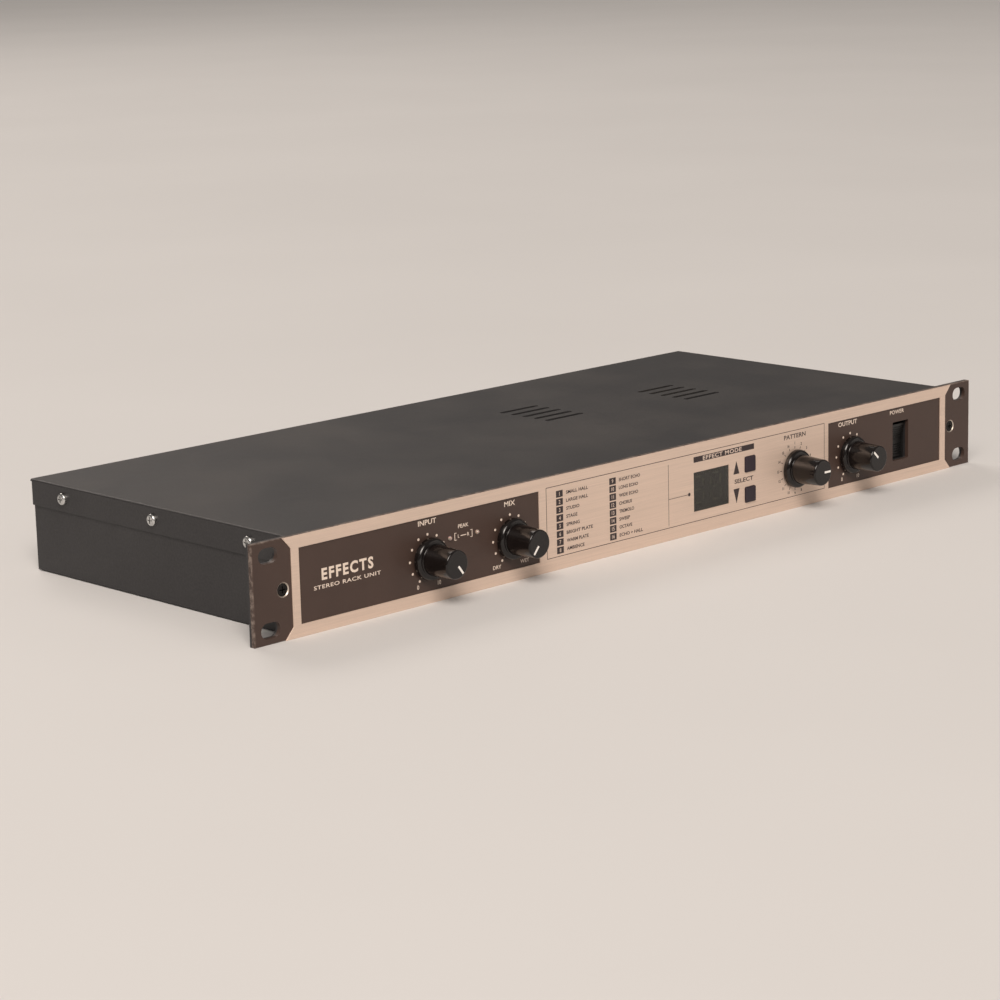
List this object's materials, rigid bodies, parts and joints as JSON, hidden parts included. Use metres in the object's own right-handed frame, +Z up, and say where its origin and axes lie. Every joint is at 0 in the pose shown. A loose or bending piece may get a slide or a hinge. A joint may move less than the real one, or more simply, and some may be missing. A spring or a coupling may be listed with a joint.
{
  "type": "rack effects unit",
  "caption": "One-unit 19-inch rack effects unit: steel tray and cover, silver-fronted panel with knobs, select buttons, display and power rocker, rear jack sockets and mains inlet.",
  "frame": {"origin": "centre of the four rack slots, on the rear face of the ears, where they meet the rack's rails", "axes": "+X right seen from the front, +Y back into the rack, +Z up"},
  "size_m": [0.4826, 0.2065, 0.0436],
  "materials": {
    "tray_paint": "fine black powder coat",
    "cover_paint": "fine black powder coat",
    "panel_paint": "satin charcoal paint",
    "fascia_silver": "satin silver, finely brushed",
    "screw_steel": "bright zinc",
    "black_screw": "black oxide",
    "smoked_lens": "smoked acrylic",
    "display_black": "black moulding",
    "led_red": "tinted epoxy",
    "switch_black": "black moulding",
    "rocker_black": "black moulding",
    "button_black": "dark moulding",
    "knob_black": "soft satin black",
    "pointer_white": "white inlay",
    "shaft_metal": "turned",
    "pot_metal": "tinned can",
    "nut_nickel": "nickel plate",
    "board_green": "solder mask",
    "standoff_brass": "turned",
    "header_cream": "nylon",
    "ribbon_grey": "grey vinyl",
    "chip_black": "moulded epoxy",
    "capacitor_sleeve": "shrink sleeve",
    "heatsink_black": "black anodised",
    "jack_black": "black moulding",
    "inlet_black": "black moulding",
    "terminal_metal": "tinned brass",
    "core_iron": "varnished laminations",
    "winding_tape": "yellow polyester tape",
    "fuse_black": "black moulding",
    "wire_brown": "vinyl insulation",
    "wire_green": "vinyl insulation",
    "wire_red": "vinyl insulation"
  },
  "bodies": {
    "chassis": {"front_plate": "tray_paint", "chassis_tray": "tray_paint", "rear_panel": "tray_paint", "top_cover": "cover_paint", "cover_screws": "screw_steel", "front_panel": "panel_paint", "fascia_overlay": "fascia_silver", "panel_screws": "black_screw", "display_window": "smoked_lens", "display_module": "display_black", "peak_leds": "led_red", "tact_switches": "switch_black", "pot_washers": "nut_nickel", "pot_nuts": "nut_nickel", "switch_housing": "switch_black", "control_board": "board_green", "main_board": "board_green", "board_standoffs": "standoff_brass", "fixing_screws": "screw_steel", "board_headers": "header_cream", "ribbon_cable": "ribbon_grey", "dsp_chip": "chip_black", "small_chips": "chip_black", "capacitors": "capacitor_sleeve", "heatsink": "heatsink_black", "regulators": "chip_black", "jack_nuts": "nut_nickel", "power_inlet": "inlet_black", "mains_terminals": "terminal_metal", "transformer_core": "core_iron", "transformer_winding": "winding_tape", "fuse_holder": "fuse_black", "earth_stud": "standoff_brass", "mains_wires": "wire_brown", "earth_wire": "wire_green", "secondary_wires": "wire_red", "input_jack_left": "jack_black", "input_jack_right": "jack_black", "output_jack_left": "jack_black", "output_jack_right": "jack_black", "footswitch_jack": "jack_black", "input_pot": "pot_metal", "mix_pot": "pot_metal", "pattern_encoder": "pot_metal", "output_pot": "pot_metal"},
    "input_control": {"input_knob": "knob_black", "input_pointer": "pointer_white", "input_shaft": "shaft_metal"},
    "mix_control": {"mix_knob": "knob_black", "mix_pointer": "pointer_white", "mix_shaft": "shaft_metal"},
    "pattern_control": {"pattern_knob": "knob_black", "pattern_pointer": "pointer_white", "pattern_shaft": "shaft_metal"},
    "output_control": {"output_knob": "knob_black", "output_pointer": "pointer_white", "output_shaft": "shaft_metal"},
    "select_up": {"select_up_button": "button_black"},
    "select_down": {"select_down_button": "button_black"},
    "rocker": {"power_rocker": "rocker_black"}
  },
  "joints": [
    {"name": "input_turn", "type": "hinge", "parent": "chassis", "child": "input_control", "pos_m": [-0.1434, 0, -0.0018], "axis": [0, 1, 0], "range_deg": [-293, 7]},
    {"name": "mix_turn", "type": "hinge", "parent": "chassis", "child": "mix_control", "pos_m": [-0.0936, 0, -0.0018], "axis": [0, 1, 0], "range_deg": [-10, 290]},
    {"name": "pattern_turn", "type": "hinge", "parent": "chassis", "child": "pattern_control", "pos_m": [0.1008, 0, -0.0018], "axis": [0, 1, 0], "continuous": true},
    {"name": "output_turn", "type": "hinge", "parent": "chassis", "child": "output_control", "pos_m": [0.1439, 0, -0.0018], "axis": [0, 1, 0], "range_deg": [-104, 196]},
    {"name": "select_up_press", "type": "slide", "parent": "chassis", "child": "select_up", "axis": [0, 1, 0], "range_m": [0, 0.0005], "stiffness_N_per_m": 300, "springref_m": -0.003},
    {"name": "select_down_press", "type": "slide", "parent": "chassis", "child": "select_down", "axis": [0, 1, 0], "range_m": [0, 0.0005], "stiffness_N_per_m": 300, "springref_m": -0.003},
    {"name": "power_rock", "type": "hinge", "parent": "chassis", "child": "rocker", "pos_m": [0.18415, 0.0042, -0.001], "axis": [1, 0, 0], "range_deg": [-16, 0]}
  ]
}
